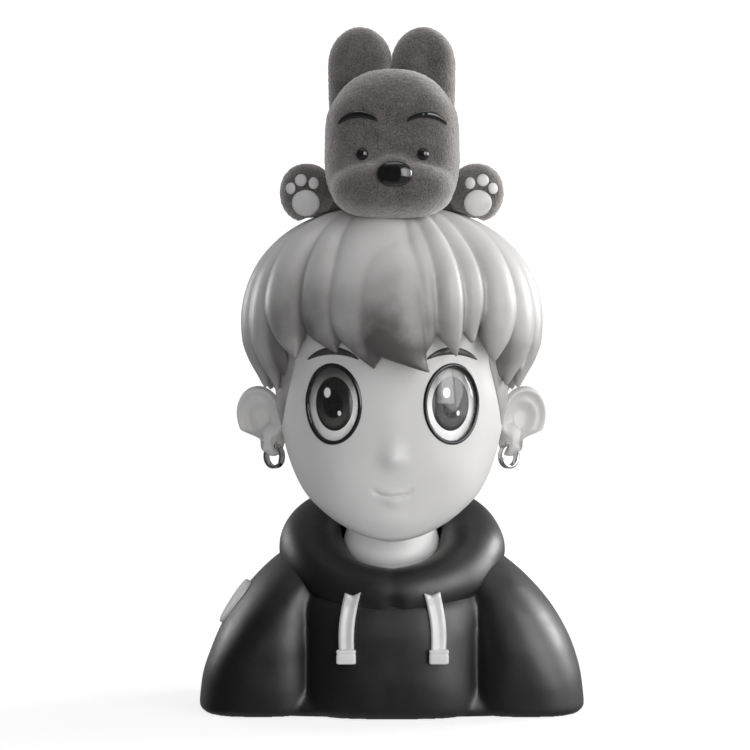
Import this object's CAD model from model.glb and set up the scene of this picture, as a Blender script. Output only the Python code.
import math

import bmesh
import bpy
import numpy as np
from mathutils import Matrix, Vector
from mathutils.bvhtree import BVHTree


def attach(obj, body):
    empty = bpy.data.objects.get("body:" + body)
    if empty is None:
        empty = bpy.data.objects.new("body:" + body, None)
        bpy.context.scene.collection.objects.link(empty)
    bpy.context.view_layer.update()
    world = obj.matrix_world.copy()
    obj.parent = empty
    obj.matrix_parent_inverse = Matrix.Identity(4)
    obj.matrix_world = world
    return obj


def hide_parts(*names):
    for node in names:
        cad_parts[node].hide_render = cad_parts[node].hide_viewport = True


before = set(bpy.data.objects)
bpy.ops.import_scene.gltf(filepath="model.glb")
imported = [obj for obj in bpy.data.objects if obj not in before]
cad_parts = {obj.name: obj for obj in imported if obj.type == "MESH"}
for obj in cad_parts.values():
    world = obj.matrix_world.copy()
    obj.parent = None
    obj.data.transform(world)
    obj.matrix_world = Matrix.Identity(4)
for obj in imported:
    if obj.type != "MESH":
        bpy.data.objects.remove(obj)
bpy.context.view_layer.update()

# Shapes are worked out in millimetres in the frame's axes and stored in metres.
MM = 0.001
SIDES = (("left", -1), ("right", 1))
RNG = np.random.default_rng(11)


# ---------------------------------------------------------------- numbers and curves

def smoothstep(x, low, high):
    t = np.clip((np.asarray(x, float) - low) / (high - low), 0, 1)
    return t * t * (3 - 2 * t)


def bell(x, width):
    return np.exp(-(x / width) ** 2)


def unit(vector):
    return vector / np.linalg.norm(vector)


def signed_power(value, power):
    return np.sign(value) * np.abs(value) ** power


def curve(points):
    """A smooth function through (x, value) points that doesn't overshoot."""
    xs, ys = np.array(points, float).T
    step = np.diff(xs)
    slope = np.diff(ys) / step
    tangent = np.concatenate([slope[:1], np.zeros(len(xs) - 2), slope[-1:]])
    for i in range(1, len(xs) - 1):
        if slope[i - 1] * slope[i] > 0:
            a, b = 2 * step[i] + step[i - 1], step[i] + 2 * step[i - 1]
            tangent[i] = (a + b) / (a / slope[i - 1] + b / slope[i])

    def value(x):
        x = np.clip(np.asarray(x, float), xs[0], xs[-1])
        i = np.clip(np.searchsorted(xs, x) - 1, 0, len(step) - 1)
        t = (x - xs[i]) / step[i]
        h00, h10 = 2 * t**3 - 3 * t**2 + 1, t**3 - 2 * t**2 + t
        h01, h11 = 3 * t**2 - 2 * t**3, t**3 - t**2
        return h00 * ys[i] + h10 * step[i] * tangent[i] + h01 * ys[i + 1] + h11 * step[i] * tangent[i + 1]

    return value


def columns(rows):
    """A curve for each column after the first of a table keyed by its first column."""
    rows = np.array(rows, float)
    return [curve(rows[:, (0, c)]) for c in range(1, rows.shape[1])]


# ---------------------------------------------------------------- rings and meshes

def circle(points):
    """Even angles once round."""
    return np.linspace(0, 2 * np.pi, points, endpoint=False)


def level(x, y, z):
    """Points at one height."""
    return np.column_stack([x, y, np.full(len(x), z)])


def oval(turn, half_width, front, back, power):
    """x and y round an oval, boxier where power is over 2."""
    x = half_width * signed_power(np.cos(turn), 2 / power)
    y = (front + back) / 2 + (back - front) / 2 * signed_power(np.sin(turn), 2 / power)
    return x, y


def rings_mesh(rings, wrap=False):
    """Vertices and faces over a stack of closed rings, which wraps round or is capped at both ends."""
    rings = np.asarray(rings, float)
    n, m = rings.shape[:2]
    verts = rings.reshape(-1, 3)
    j = np.arange(m)
    k = (j + 1) % m
    faces = []
    for i in range(n if wrap else n - 1):
        a, b = i * m, (i + 1) % n * m
        faces += np.stack([a + j, a + k, b + k, b + j], 1).tolist()
    if not wrap:
        verts = np.vstack([verts, rings[0].mean(0), rings[-1].mean(0)])
        last = (n - 1) * m
        faces += np.stack([np.full(m, n * m), k, j], 1).tolist()
        faces += np.stack([np.full(m, n * m + 1), last + j, last + k], 1).tolist()
    return verts, faces


def evened(rings, passes):
    """Rings with y averaged along the stack, so that small waves in what they follow don't show."""
    rings = np.array(rings)
    for _ in range(passes):
        rings[1:-1, :, 1] = (rings[:-2, :, 1] + 2 * rings[1:-1, :, 1] + rings[2:, :, 1]) / 4
    return rings


def ellipsoid(centre, radii, power=2.0, rows=40, points=56):
    """A closed ball, boxier where power is over 2."""
    lat = np.linspace(-np.pi / 2, np.pi / 2, rows)[1:-1, None]
    lon = circle(points)[None, :]
    across = signed_power(np.cos(lat), 2 / power)
    x = radii[0] * across * signed_power(np.cos(lon), 2 / power)
    y = radii[1] * across * signed_power(np.sin(lon), 2 / power)
    z = radii[2] * signed_power(np.sin(lat), 2 / power) * np.ones_like(lon)
    return rings_mesh(np.stack([x, y, z], -1) + np.array(centre))


def capsule(start, end, r0, r1, points=28):
    """A round-ended limb between two points."""
    start, end = np.array(start, float), np.array(end, float)
    along = unit(end - start)
    side = unit(np.cross(along, (0, 0, 1) if abs(along[2]) < 0.9 else (1, 0, 0)))
    turn = circle(points)[:, None]
    ring = np.cos(turn) * side + np.sin(turn) * np.cross(along, side)
    bow = np.linspace(0, np.pi / 2, 8)
    rings = [start - along * r0 * np.cos(a) + ring * r0 * np.sin(a) for a in bow[1:]]
    rings += [end + along * r1 * np.sin(a) + ring * r1 * np.cos(a) for a in bow[:-1]]
    return rings_mesh(rings)


def joined(meshes):
    """Several meshes as one."""
    verts, faces, base = [], [], 0
    for part_verts, part_faces in meshes:
        verts.append(part_verts)
        faces += [[i + base for i in face] for face in part_faces]
        base += len(part_verts)
    return np.vstack(verts), faces


def build(name, mesh):
    """A smooth-shaded Blender object from (vertices in mm, faces)."""
    verts, faces = mesh
    data = bpy.data.meshes.new(name)
    data.from_pydata((np.asarray(verts) * MM).tolist(), [], faces)
    data.validate()
    data.polygons.foreach_set("use_smooth", [True] * len(data.polygons))
    obj = bpy.data.objects.new(name, data)
    bpy.context.scene.collection.objects.link(obj)
    return obj


def settle(obj):
    """Applies the modifiers."""
    graph = bpy.context.evaluated_depsgraph_get()
    data = bpy.data.meshes.new_from_object(obj.evaluated_get(graph))
    obj.modifiers.clear()
    obj.data = data
    data.polygons.foreach_set("use_smooth", [True] * len(data.polygons))
    return obj


def fuse(name, parts, voxel, passes, factor=0.6):
    """One soft-edged skin round overlapping closed parts."""
    obj = build(name, joined(parts))
    voxels = obj.modifiers.new("voxels", "REMESH")
    voxels.mode = "VOXEL"
    voxels.voxel_size = voxel * MM
    soften = obj.modifiers.new("soften", "SMOOTH")
    soften.iterations = passes
    soften.factor = factor
    return settle(obj)


def rounded(obj, width):
    """Takes the sharp edges off."""
    bevel = obj.modifiers.new("round", "BEVEL")
    bevel.width = width * MM
    bevel.segments = 2
    bevel.limit_method = "ANGLE"
    bevel.angle_limit = math.radians(40)
    return settle(obj)


def outward(obj):
    """Turns every face of a closed mesh outwards."""
    work = bmesh.new()
    work.from_mesh(obj.data)
    bmesh.ops.recalc_face_normals(work, faces=work.faces)
    work.to_mesh(obj.data)
    work.free()
    return obj


def vertex_rows(obj, field):
    rows = np.empty(len(obj.data.vertices) * 3)
    obj.data.vertices.foreach_get(field, rows)
    return rows.reshape(-1, 3)


def points_of(obj):
    return vertex_rows(obj, "co") / MM


def normals_of(obj):
    return vertex_rows(obj, "normal")


def set_points(obj, points):
    obj.data.vertices.foreach_set("co", (points * MM).ravel())
    obj.data.update()


def paint(obj, name, values):
    """Stores one number per vertex for the material to read."""
    layer = obj.data.attributes.new(name, "FLOAT", "POINT")
    layer.data.foreach_set("value", np.asarray(values, np.float32))


def spread(obj, values, passes):
    """Softens one value per vertex by averaging along the mesh's edges."""
    ends = np.empty(len(obj.data.edges) * 2, np.int32)
    obj.data.edges.foreach_get("vertices", ends)
    a, b = ends[::2], ends[1::2]
    count = np.maximum(np.bincount(ends, minlength=len(values)), 1)
    for _ in range(passes):
        total = np.bincount(a, values[b], len(values)) + np.bincount(b, values[a], len(values))
        values = 0.35 * values + 0.65 * total / count
    return values


def surface_finder(*objects):
    """Gives the foremost y of the objects at (x, z)."""
    trees = []
    for obj in objects:
        polygons = [tuple(p.vertices) for p in obj.data.polygons]
        trees.append(BVHTree.FromPolygons([tuple(p) for p in points_of(obj)], polygons))

    def foremost(x, z, fallback=-38.0):
        hits = [tree.ray_cast(Vector((float(x), -120, float(z))), Vector((0, 1, 0)))[0] for tree in trees]
        found = [hit.y for hit in hits if hit is not None]
        return min(found) if found else fallback

    return foremost


def finish_piece(obj, body, paint_used, *stands_for):
    obj.data.materials.clear()
    obj.data.materials.append(paint_used.material)
    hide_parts(*stands_for)
    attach(obj, body)


# ---------------------------------------------------------------- materials

class Paint:
    """A small builder of node materials. Lengths given to it are millimetres."""

    def __init__(self, name, slot=None):
        self.slot = slot or name
        self.material = bpy.data.materials.new(name)
        self.material.use_nodes = True
        self.tree = self.material.node_tree
        self.shader = self.tree.nodes["Principled BSDF"]
        self.place = self.node("ShaderNodeTexCoord").outputs["Object"]

    def node(self, kind, **settings):
        made = self.tree.nodes.new(kind)
        for key, value in settings.items():
            setattr(made, key, value)
        return made

    def link(self, source, target):
        if hasattr(source, "is_output"):
            self.tree.links.new(source, target)
        elif isinstance(source, (tuple, list)):
            target.default_value = (*source, 1.0)[:len(target.default_value)]
        else:
            target.default_value = source

    def set(self, **values):
        for key, value in values.items():
            self.link(value, self.shader.inputs[key.replace("_", " ")])

    def noise(self, size, detail=3.0, rough=0.55, stretch=None):
        made = self.node("ShaderNodeTexNoise")
        place = self.place
        if stretch:
            mapping = self.node("ShaderNodeMapping")
            self.link(place, mapping.inputs["Vector"])
            mapping.inputs["Scale"].default_value = stretch
            place = mapping.outputs["Vector"]
        self.link(place, made.inputs["Vector"])
        made.inputs["Scale"].default_value = 1 / (size * MM)
        made.inputs["Detail"].default_value = detail
        made.inputs["Roughness"].default_value = rough
        return made.outputs["Fac"]

    def speckle(self, size):
        made = self.node("ShaderNodeTexVoronoi")
        self.link(self.place, made.inputs["Vector"])
        made.inputs["Scale"].default_value = 1 / (size * MM)
        return made.outputs["Distance"]

    def span(self, source, low, high, to_low=0.0, to_high=1.0, smooth=False):
        made = self.node("ShaderNodeMapRange")
        if smooth:
            made.interpolation_type = "SMOOTHSTEP"
        for value, socket in zip((source, low, high, to_low, to_high), made.inputs):
            self.link(value, socket)
        return made.outputs["Result"]

    def maths(self, operation, a, b=0.0, clamp=False):
        made = self.node("ShaderNodeMath", operation=operation, use_clamp=clamp)
        self.link(a, made.inputs[0])
        self.link(b, made.inputs[1])
        return made.outputs[0]

    def mix(self, factor, a, b):
        made = self.node("ShaderNodeMix", data_type="RGBA")
        # Inputs 0, 6 and 7 and output 2 are the colour mix's own.
        self.link(factor, made.inputs[0])
        self.link(a, made.inputs[6])
        self.link(b, made.inputs[7])
        return made.outputs[2]

    def painted(self, name):
        return self.node("ShaderNodeAttribute", attribute_name=name).outputs["Fac"]

    def eye_place(self):
        """Across and up in an eye's own disc, whose edge is at 1."""
        split = self.node("ShaderNodeSeparateXYZ")
        self.link(self.node("ShaderNodeUVMap", uv_map="eye").outputs["UV"], split.inputs[0])
        return split.outputs["X"], split.outputs["Y"]

    def bump(self, height, depth, before=None):
        """Relief of that depth in mm, on top of an earlier one."""
        made = self.node("ShaderNodeBump")
        made.inputs["Distance"].default_value = depth * MM
        self.link(height, made.inputs["Height"])
        if before is not None:
            self.link(before, made.inputs["Normal"])
        return made.outputs["Normal"]


def vinyl(name, dark, light, rough, grain=0.012, patch=26.0, slot=None):
    """Moulded vinyl: slow colour drift, a fine matt grain, faint smudges and a few rub marks."""
    p = Paint(name, slot)
    colour = p.mix(p.span(p.noise(patch, 2.0), 0.3, 0.7), dark, light)
    dust = p.span(p.noise(0.8, 2.0), 0.62, 0.8)
    colour = p.mix(p.maths("MULTIPLY", dust, 0.12), colour, [min(1, c * 1.25 + 0.01) for c in light])
    smudge = p.span(p.noise(9.0, 4.0, 0.6), 0.35, 0.7)
    scuff = p.span(p.noise(2.4, 5.0, 0.65, stretch=(1, 1, 0.18)), 0.6, 0.78)
    base = p.span(smudge, 0, 1, rough - 0.045, rough + 0.055)
    p.set(Base_Color=colour, Roughness=p.maths("ADD", base, p.maths("MULTIPLY", scuff, 0.06)))
    fine = p.bump(p.noise(0.35, 3.0), grain)
    p.set(Normal=p.bump(p.noise(5.0, 2.0), 0.05, fine))
    return p


def gloss(name, colour, rough):
    """Polished dark plastic with faint hairlines and fingerprints."""
    p = Paint(name)
    p.set(Base_Color=p.mix(p.span(p.noise(3.0), 0.3, 0.7), colour, [c * 1.5 + 0.004 for c in colour]))
    lines = p.noise(0.5, 4.0, 0.6, stretch=(1, 1, 0.1))
    p.set(Roughness=p.span(lines, 0.35, 0.75, rough - 0.03, rough + 0.08))
    p.set(Normal=p.bump(p.noise(1.6, 2.0), 0.006), Coat_Weight=0.6, Coat_Roughness=0.05)
    return p


def flock(name, dark, light):
    """Short dense fibres: speckled, rough, paler where the pile is brushed outwards, with a soft sheen."""
    p = Paint(name)
    fine = p.noise(0.42, 2.0, 0.7)
    coarse = p.noise(7.0, 3.0)
    shade = p.maths("ADD", p.span(fine, 0.34, 0.68, 0, 0.75), p.span(coarse, 0.3, 0.7, 0, 0.25))
    colour = p.mix(shade, dark, light)
    brushed = p.mix(shade, [c * 4.5 for c in dark], [c * 2.1 for c in light])
    p.set(Base_Color=p.mix(p.painted("brushed"), colour, brushed))
    p.set(Roughness=p.span(fine, 0.3, 0.7, 0.86, 1.0))
    relief = p.bump(p.speckle(0.5), 0.12)
    p.set(Normal=p.bump(p.noise(0.3, 2.0, 0.7), 0.1, relief), Sheen_Weight=1.0, Sheen_Roughness=0.5)
    p.set(Sheen_Tint=(0.9, 0.87, 0.86), Specular_IOR_Level=0.2)
    return p


def chrome(name):
    p = Paint(name)
    wipe = p.noise(1.2, 4.0, stretch=(1, 1, 0.2))
    p.set(Base_Color=p.mix(p.span(wipe, 0.3, 0.7), (0.62, 0.61, 0.6), (0.8, 0.79, 0.78)), Metallic=1.0)
    p.set(Roughness=p.span(wipe, 0.35, 0.75, 0.06, 0.2), Normal=p.bump(p.noise(0.6), 0.004))
    return p


def hair_paint(name):
    """Silver vinyl, airbrushed darker low on each lock and in the grooves between them."""
    p = vinyl(name, (0.66, 0.645, 0.63), (0.74, 0.725, 0.71), 0.42, 0.008)
    smoke = p.span(p.noise(15.0, 3.0, 0.5), 0.25, 0.75, 0.62, 1.12)
    tip = p.maths("MULTIPLY", p.painted("tip"), smoke, clamp=True)
    groove = p.maths("MULTIPLY", p.painted("groove"), 0.7, clamp=True)
    plain = p.shader.inputs["Base Color"].links[0].from_socket
    shaded = p.mix(p.maths("MULTIPLY", tip, 0.95), plain, (0.066, 0.061, 0.058))
    p.set(Base_Color=p.mix(groove, shaded, (0.1, 0.094, 0.09)))
    return p


def iris_paint(name):
    """A printed iris: round pupil, fine spokes, a dark outer ring and two plain round glints."""
    p = Paint(name)
    x, y = p.eye_place()

    def far(cx, cy):
        dx, dy = p.maths("SUBTRACT", x, cx), p.maths("SUBTRACT", y, cy)
        total = p.maths("ADD", p.maths("MULTIPLY", dx, dx), p.maths("MULTIPLY", dy, dy))
        return p.maths("SQRT", total)

    radius = far(0, 0)
    angle = p.maths("ARCTAN2", y, x)
    spokes = p.node("ShaderNodeTexNoise", noise_dimensions="2D")
    vector = p.node("ShaderNodeCombineXYZ")
    p.link(p.maths("MULTIPLY", angle, 14.0), vector.inputs[0])
    p.link(p.maths("MULTIPLY", radius, 1.5), vector.inputs[1])
    p.link(vector.outputs[0], spokes.inputs["Vector"])
    spokes.inputs["Scale"].default_value = 1.0
    low = p.span(y, -0.75, 0.35, 1.0, 0.0, smooth=True)
    shade = p.mix(p.span(spokes.outputs["Fac"], 0.3, 0.7), (0.005, 0.0047, 0.0045), (0.02, 0.019, 0.018))
    shade = p.mix(p.maths("MULTIPLY", low, 0.7), shade, (0.085, 0.082, 0.08))
    shade = p.mix(p.span(radius, 0.78, 0.95, smooth=True), shade, (0.012, 0.012, 0.012))
    shade = p.mix(p.span(radius, 0.56, 0.5, smooth=True), shade, (0.004, 0.004, 0.004))
    for cx, cy, size in ((-0.3, 0.42, 0.2), (0.34, -0.34, 0.1)):
        shade = p.mix(p.span(far(cx, cy), size, size * 0.86), shade, (0.85, 0.85, 0.85))
    p.set(Base_Color=shade, Roughness=p.span(p.noise(0.4), 0.3, 0.7, 0.25, 0.35))
    return p


def eye_white_paint(name):
    """Pearl-grey print behind the iris, shaded darker under the upper edge."""
    p = Paint(name)
    top = p.span(p.eye_place()[1], -0.35, 0.95, smooth=True)
    colour = p.mix(p.span(p.noise(2.2), 0.3, 0.7), (0.84, 0.835, 0.83), (0.89, 0.885, 0.88))
    p.set(Base_Color=p.mix(top, colour, (0.07, 0.068, 0.066)), Roughness=0.3)
    return p


def clear_paint(name):
    p = Paint(name)
    p.set(Base_Color=(0.97, 0.97, 0.97), Transmission_Weight=1.0, IOR=1.46)
    p.set(Roughness=p.span(p.noise(2.0, 4.0, 0.65), 0.45, 0.8, 0.0, 0.04))
    return p


def foam_paint(name):
    p = Paint(name)
    cells = p.speckle(0.9)
    p.set(Base_Color=p.mix(cells, (0.012, 0.012, 0.012), (0.045, 0.045, 0.045)), Roughness=0.9)
    p.set(Normal=p.bump(cells, 0.15))
    return p


def steel_paint(name):
    p = Paint(name)
    brushed = p.noise(0.3, 3.0, stretch=(1, 0.1, 1))
    p.set(Base_Color=p.mix(brushed, (0.36, 0.36, 0.37), (0.55, 0.55, 0.56)), Metallic=1.0)
    p.set(Roughness=p.span(brushed, 0.3, 0.7, 0.28, 0.45), Normal=p.bump(brushed, 0.01))
    return p


# A vinyl's numbers are its darker and lighter colour, its roughness and its grain in mm.
hoodie = vinyl("hoodie_vinyl", (0.004, 0.0034, 0.0031), (0.007, 0.006, 0.0055), 0.47, 0.02, patch=34.0)
hoodie.set(Specular_IOR_Level=0.95)
skin = vinyl("skin_vinyl", (0.7, 0.69, 0.675), (0.75, 0.74, 0.725), 0.45, 0.008)
neck_skin = vinyl("neck_vinyl", (0.93, 0.92, 0.91), (0.96, 0.95, 0.94), 0.4, 0.008, slot="skin_vinyl")
hair = hair_paint("hair_vinyl")
sideburn_vinyl = vinyl("sideburn_vinyl", (0.3, 0.285, 0.275), (0.4, 0.385, 0.375), 0.42, 0.008, patch=9.0)
trim = vinyl("trim_vinyl", (0.78, 0.775, 0.77), (0.84, 0.835, 0.83), 0.4, 0.01, patch=8.0)
brow_vinyl = vinyl("brow_paint", (0.055, 0.052, 0.05), (0.085, 0.08, 0.077), 0.35, 0.01, patch=6.0)
inner = vinyl("inner_plastic", (0.1, 0.1, 0.1), (0.15, 0.15, 0.15), 0.5, 0.02)
pad_rubber = vinyl("paw_pad", (0.66, 0.65, 0.64), (0.74, 0.73, 0.72), 0.55, 0.015, patch=5.0)
eye_dark = gloss("eye_dark", (0.01, 0.0095, 0.0095), 0.12)
trim_dark = gloss("flock_trim", (0.006, 0.006, 0.006), 0.1)
flocked = flock("flock", (0.016, 0.0145, 0.0137), (0.2, 0.185, 0.178))
hoop_chrome = chrome("hoop_chrome")
iris_print = iris_paint("eye_iris")
eye_white = eye_white_paint("eye_white")
eye_clear = clear_paint("eye_clear")
foam = foam_paint("foam")
steel = steel_paint("screw_steel")


# ---------------------------------------------------------------- bust

# Each row is a height, then the oval's half width, front, back and fullness.
SHOULDERS = columns((
    (0, 66.4, -32.8, 33.0, 2.9), (3.5, 66.2, -32.4, 33.2, 2.9), (8, 65.4, -30.4, 32.8, 2.9),
    (13, 64.2, -29.4, 32.0, 2.9), (22, 61.6, -28.4, 31.6, 2.8), (35, 56.0, -26.4, 29.6, 2.6),
    (44, 50.0, -23.0, 27.6, 2.4), (51, 43.6, -18.6, 25.0, 2.3), (57, 36.0, -14.0, 22.0, 2.2),
    (61.5, 27.0, -9.0, 18.0, 2.2),
))
CHEST = columns((
    (0, 34.0, -37.6, 36.8, 3.2), (4, 34.6, -38.6, 37.2, 3.2), (14, 34.4, -39.6, 37.6, 3.1),
    (28, 34.8, -39.2, 37.2, 3.0), (38, 36.6, -36.8, 36.0, 2.8), (46, 37.6, -29.6, 33.0, 2.6),
    (53, 31.0, -20.0, 28.0, 2.4), (58, 22.0, -12.0, 20.0, 2.2),
))
# A sleeve's row is a height, its inner and outer edge, front, back and fullness.
SLEEVE = columns((
    (0, 25.0, 70.9, -33.4, 33.0, 3.0), (12, 24.5, 69.6, -34.4, 34.2, 2.8),
    (22, 24.0, 66.6, -34.2, 34.2, 2.6), (35, 22.5, 60.2, -31.4, 33.2, 2.35),
    (44, 20.0, 53.4, -27.2, 31.0, 2.2), (51, 16.0, 46.4, -21.4, 28.0, 2.2),
    (57, 12.0, 38.0, -14.5, 24.0, 2.2), (61.5, 8.0, 27.0, -8.0, 18.0, 2.1),
))
# The hood roll's row is degrees from the front, then its ring's radius and height and its own radius.
HOOD_ROLL = columns((
    (0, 28.0, 43.0, 9.4), (22.5, 28.3, 44.2, 10.1), (45, 28.8, 47.6, 11.4), (67.5, 29.0, 52.6, 12.4),
    (90, 29.2, 57.8, 12.8), (112.5, 29.0, 62.4, 13.0), (135, 28.6, 66.0, 12.6), (157.5, 28.4, 68.2, 12.2),
    (180, 28.2, 69.0, 12.0),
))
HEM, CHEST_TOP, COLLAR_TOP = 2.3, 58, 61.5
PLATE_TOP, PAD_REACH, PAD_DEPTH = 4.2, 64.6, 30.0
CLOTH_VOXEL, THROAT = 0.85, 18.8


def stacked(profile, high, side=0):
    """An oval stack from the base to a height, its lower edge rounded by the hem. A sleeve has a side."""
    bend = np.linspace(0, np.pi / 2, 7)
    levels = [(HEM * (1 - np.cos(a)), HEM * (1 - np.sin(a))) for a in bend]
    levels += [(z, 0.0) for z in np.linspace(HEM, high, 60)[1:]]
    rings = []
    for z, squeeze in levels:
        *edges, front, back, power = (float(c(z)) for c in profile)
        inside, outside = edges if side else (-edges[0], edges[0])
        x, y = oval(circle(150), (outside - inside) / 2 - squeeze, front + squeeze, back - squeeze, power)
        rings.append(level(side * (outside + inside) / 2 + x, y, z))
    return rings_mesh(rings)


def torso():
    """Chest and sleeves, with the soft crease between them and the well under the base."""
    parts = [stacked(SHOULDERS, COLLAR_TOP), stacked(CHEST, CHEST_TOP)]
    parts += [stacked(SLEEVE, COLLAR_TOP, side) for _, side in SIDES]
    obj = fuse("hoodie", parts, CLOTH_VOXEL, passes=8)
    p = points_of(obj)
    x, y, z = p.T
    p[z < 0.35, 2] = 0.06
    # A few long, shallow folds run from the collar into the sleeves.
    fold = np.sin(0.16 * np.abs(x) + 0.11 * z + 1.3 * np.sign(x)) * np.sin(0.05 * y + 0.07 * z)
    mask = smoothstep(z, 6, 24) * smoothstep(np.abs(x), 30, 44)
    p += normals_of(obj) * (0.45 * fold * mask)[:, None]
    # Under the hood the neckline drops towards the front and leaves the neck's seat open.
    radius = np.hypot(x, y)
    neckline = 57.0 + 0.49 * y + 40 * smoothstep(radius, 32, 38)
    neckline = np.where(radius < 22, np.minimum(neckline, 46), neckline)
    p[:, 2] = np.minimum(p[:, 2], neckline)
    inside = (np.abs(x) / PAD_REACH) ** 2.9 + (np.abs(y) / PAD_DEPTH) ** 2.9 < 1
    p[inside & (z < 1.5), 2] = PLATE_TOP
    set_points(obj, p)
    return obj


def hood():
    """A fat roll round the neck with the pouch of the folded hood behind it."""
    rings = []
    section = circle(64)
    for turn in circle(160):
        degrees = math.degrees(turn)
        away = min(degrees, 360 - degrees)
        radius, height, roll = (float(c(away)) for c in HOOD_ROLL)
        out = radius + roll * np.cos(section)
        up = height + roll * np.sin(section)
        # In the middle of the front the two halves meet in a shallow V.
        up -= 4.0 * bell(away, 6.0) * smoothstep(-np.sin(section), 0.0, 0.8)
        out -= 2.2 * bell(away, 4.0) * smoothstep(-np.sin(section), -0.2, 0.5) * (np.cos(section) > 0)
        rings.append(np.column_stack([out * math.sin(turn), -out * math.cos(turn), up]))
    pouch = ellipsoid((0, 33, 53), (31, 15, 19.5), 2.2)
    obj = fuse("hood", [rings_mesh(rings, wrap=True), pouch], CLOTH_VOXEL, passes=8)
    p = points_of(obj)
    x, y, z = p.T
    turn = np.degrees(np.arctan2(x, -y))
    # Soft drapes fan out from the front and fade towards the back.
    drape = np.sin(np.radians(turn) * 5 + 0.22 * z) * bell(np.abs(turn) - 62, 34)
    p += normals_of(obj) * (0.4 * drape)[:, None]
    radius = np.hypot(x, y)
    throat = (radius < THROAT) & (z < 68)
    p[throat, :2] *= (THROAT / radius[throat])[:, None]
    set_points(obj, p)
    return obj


def neck():
    """A turned column that flares into a rounded flange, which dips a little in front."""
    outline = ((0.01, 46), (15, 46), (17.4, 46.4), (17.8, 48.5), (17.9, 52), (18.0, 54.4), (18.35, 56.2),
               (18.5, 57.6), (18.4, 59.2), (18.0, 60.6), (17.4, 62.2), (16.9, 63.8), (16.4, 65.8), (16.1, 68),
               (16, 71), (16, 82.6), (15.6, 83.4), (14.8, 83.6), (0.01, 83.6))
    fine = []
    for (r0, z0), (r1, z1) in zip(outline, outline[1:]):
        steps = max(1, int(math.hypot(r1 - r0, z1 - z0) / 0.8))
        fine += [(r0 + (r1 - r0) * i / steps, z0 + (z1 - z0) * i / steps) for i in range(steps)]
    turn = circle(120)
    rings = []
    for r, z in fine + [outline[-1]]:
        tilt = 0.13 * float(smoothstep(70 - z, 0, 12)) * float(smoothstep(z, 46, 50))
        rings.append(np.column_stack([r * np.cos(turn), r * np.sin(turn), z + tilt * r * np.sin(turn)]))
    return build("neck", rings_mesh(rings))


def drawstring(name, side, foremost):
    """A flat moulded tape with a dished face and a notched top, bowed a little outwards."""
    top, low, width = 44.4, 24.2, 5.7
    across = np.linspace(-1, 1, 17)
    crest = 1.95 - 0.75 * bell(across, 0.42) - 1.3 * smoothstep(np.abs(across), 0.8, 1.0)
    rings = []
    for share in np.linspace(0, 1, 40):
        centre = 14.0 + 2.2 * share + 0.9 * math.sin(math.pi * share)
        half = width / 2 * (1 - 0.05 * share)
        z = top + (low - top) * share
        # The top corners stand up and the middle is notched.
        peak = (1 - share) ** 6 * (2.0 * np.abs(across) ** 1.5 - 1.6 + 0.25 * across * side)
        rows = []
        for a, c, lift in zip(across, crest, peak):
            x = side * (centre + half * a)
            y = min(foremost(x, z), foremost(side * centre, z) + 0.6)
            rows.append((x, y - c, z + lift))
        back = [(x, y + c + 1.6, z) for (x, y, z), c in zip(rows[::-1], crest[::-1])]
        rings.append(rows + back)
    return rounded(build(name, rings_mesh(evened(rings, 8))), 0.28)


def drawstring_tip(name, side, foremost):
    """The moulded end of a cord: a rounded block with a shallow ring near its top."""
    x, top, width, height = side * 16.3, 25.2, 6.9, 5.0
    y = min(foremost(x - 2.5, 23), foremost(x + 2.5, 23))
    turn = circle(72)
    rings = []
    for share in (0, 0.04, 0.1, 0.2, 0.3, 0.36, 0.42, 0.5, 0.6, 0.7, 0.8, 0.9, 0.96, 1):
        end = 0.5 * (1 - math.sqrt(max(0, 1 - (max(0, abs(share - 0.5) - 0.4) / 0.1) ** 2)))
        waist = 0.22 * bell(share - 0.3, 0.05)
        half, depth = width / 2 - end - waist, 1.5 - end * 0.7 - waist
        ring_x = x + half * signed_power(np.cos(turn), 2 / 6.5)
        ring_y = y - 1.35 + depth * signed_power(np.sin(turn), 2 / 4.0)
        rings.append(level(ring_x, ring_y, top - height * share))
    return build(name, rings_mesh(rings))


def sleeve_badge():
    """A plain oval badge, domed, with a low rim."""
    centre = np.array((-57.5, -4.8, 37.9))
    normal = unit(np.array((-0.83, -0.12, 0.55)))
    along = unit(np.array((0.0, 1.0, 0.0)) - normal * normal[1])
    other = np.cross(normal, along)
    turn = circle(96)[:, None]
    rings = []
    for share, height in ((0.02, 1.75), (0.2, 1.73), (0.4, 1.66), (0.6, 1.55), (0.76, 1.42), (0.82, 1.3),
                          (0.86, 1.42), (0.92, 1.5), (0.97, 1.36), (1.0, 1.0), (1.0, 0.2), (0.98, -4.0),
                          (0.5, -5.4)):
        flat = (np.cos(turn) * along * 7.6 + np.sin(turn) * other * 9.3) * share
        rings.append(centre + flat + normal * height)
    return build("sleeve_badge", rings_mesh(rings[::-1]))


body_mesh, hood_mesh, neck_mesh = torso(), hood(), neck()
cloth_front = surface_finder(body_mesh, hood_mesh)
finish_piece(body_mesh, "bust", hoodie, "hoodie_shell")
finish_piece(hood_mesh, "bust", hoodie, "hood_collar")
finish_piece(neck_mesh, "bust", neck_skin, "neck_plug")
finish_piece(sleeve_badge(), "bust", trim, "sleeve_patch")
for label, side in SIDES:
    finish_piece(drawstring(f"cord_{label}", side, cloth_front), "bust", trim, f"drawstring_{label}")
    tip = drawstring_tip(f"cord_tip_{label}", side, cloth_front)
    finish_piece(tip, "bust", trim, f"drawstring_tip_{label}")


# ---------------------------------------------------------------- head and face

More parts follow.
